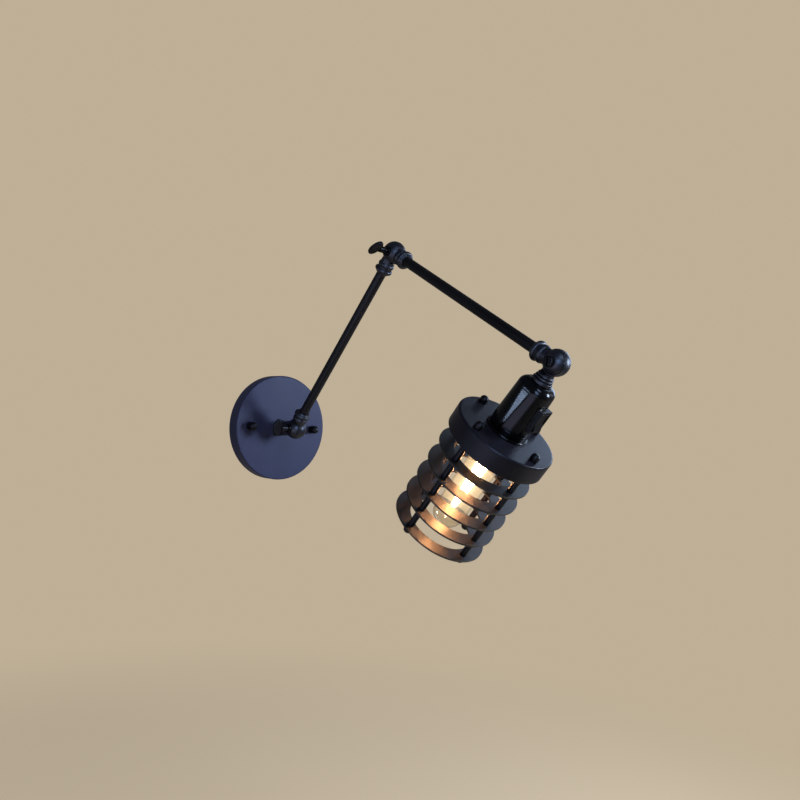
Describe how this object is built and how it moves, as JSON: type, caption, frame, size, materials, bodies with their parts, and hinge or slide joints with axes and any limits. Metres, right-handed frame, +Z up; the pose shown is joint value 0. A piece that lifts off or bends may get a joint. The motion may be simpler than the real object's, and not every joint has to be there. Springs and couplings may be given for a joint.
{
  "type": "swing arm wall lamp",
  "caption": "Swing arm wall lamp: jointed tube arms on a round wall plate carry a tilting head with a switch socket and an open cage of flat rings round a tubular bulb.",
  "frame": {"origin": "on the wall at the middle of the wall plate's back, halfway between the bracket's screw slots", "axes": "+Z up, +Y into the wall, -Y out into the room along the lamp's reach, +X along the knuckles' hinges"},
  "size_m": [0.12, 0.4049, 0.3026],
  "materials": {
    "black_paint": "satin black",
    "black_fastener": "blackened steel",
    "zinc_steel": "zinc plated",
    "fibre_washer": "vulcanised fibre",
    "terminal_plastic": "moulded",
    "cable_sheath": "extruded sheath",
    "socket_black": "polished black moulding",
    "porcelain": "glazed",
    "brass": "pressed",
    "bulb_glass": "clear amber",
    "stem_glass": "clear",
    "filament_support": "wire",
    "filament": "glowing wire"
  },
  "bodies": {
    "wall_base": {"wall_plate": "black_paint", "wall_bracket": "zinc_steel", "bracket_studs": "zinc_steel", "stud_nuts": "zinc_steel", "terminal_block": "terminal_plastic", "terminal_screws": "brass", "earth_screw": "zinc_steel", "plate_cap_nuts": "black_fastener", "post_nipple": "zinc_steel", "nipple_nut": "zinc_steel", "wall_post": "black_paint"},
    "lower_arm": {"base_washer": "fibre_washer", "lower_arm_ball": "black_paint", "lower_arm_foot_ring": "black_paint", "lower_arm_tube": "black_paint", "lower_arm_cable": "cable_sheath", "lower_arm_top_ring": "black_paint", "elbow_tongue": "black_paint"},
    "base_screw": {"base_thumb_screw": "black_fastener"},
    "upper_arm": {"elbow_washer": "fibre_washer", "upper_arm_ball": "black_paint", "upper_arm_foot_ring": "black_paint", "upper_arm_tube": "black_paint", "upper_arm_cable": "cable_sheath", "upper_arm_end_ring": "black_paint", "head_tongue": "black_paint"},
    "elbow_screw": {"elbow_thumb_screw": "black_fastener"},
    "lamp_head": {"head_washer": "fibre_washer", "head_pivot_screw": "black_fastener", "head_ball": "black_paint", "neck_ring": "black_paint", "socket_nipple": "zinc_steel", "socket_cap": "socket_black", "switch_frame": "socket_black", "rocker_pin": "zinc_steel", "socket_skirt": "socket_black", "socket_insert": "porcelain", "screw_shell": "brass", "centre_contact": "brass", "shade_cup": "black_paint", "shade_nut": "socket_black", "tie_rods": "zinc_steel", "cup_cap_nuts": "black_fastener", "cup_spacers": "black_paint", "ring_spacers": "black_paint", "rod_nuts": "black_fastener", "bulb_tip": "brass", "bulb_insulator": "porcelain", "bulb_cap": "brass", "bulb_glass": "bulb_glass", "bulb_stem": "stem_glass", "filament_discs": "filament_support", "filament": "filament", "shade_ring_1": "black_paint", "shade_ring_2": "black_paint", "shade_ring_3": "black_paint", "shade_ring_4": "black_paint", "shade_ring_5": "black_paint"},
    "rocker": {"switch_rocker": "socket_black"}
  },
  "joints": [
    {"name": "base_tilt", "type": "hinge", "parent": "wall_base", "child": "lower_arm", "pos_m": [0, -0.041, 0], "axis": [-1, 0, 0], "range_deg": [-60, 35]},
    {"name": "base_screw_turn", "type": "hinge", "parent": "lower_arm", "child": "base_screw", "pos_m": [0, -0.041, 0], "axis": [-1, 0, 0], "range_deg": [-90, 90]},
    {"name": "elbow_bend", "type": "hinge", "parent": "lower_arm", "child": "upper_arm", "pos_m": [0, -0.18889, 0.18263], "axis": [-1, 0, 0], "range_deg": [-20, 75]},
    {"name": "elbow_screw_turn", "type": "hinge", "parent": "upper_arm", "child": "elbow_screw", "pos_m": [0, -0.18889, 0.18263], "axis": [-1, 0, 0], "range_deg": [-90, 90]},
    {"name": "head_tilt", "type": "hinge", "parent": "upper_arm", "child": "lamp_head", "pos_m": [0, -0.39342, 0.06691], "axis": [-1, 0, 0], "range_deg": [-8, 90]},
    {"name": "switch_rock", "type": "hinge", "parent": "lamp_head", "child": "rocker", "pos_m": [0.00286, -0.37622, 0.01985], "axis": [-0.9848, -0.1349, -0.1093], "range_deg": [-16, 0]}
  ]
}
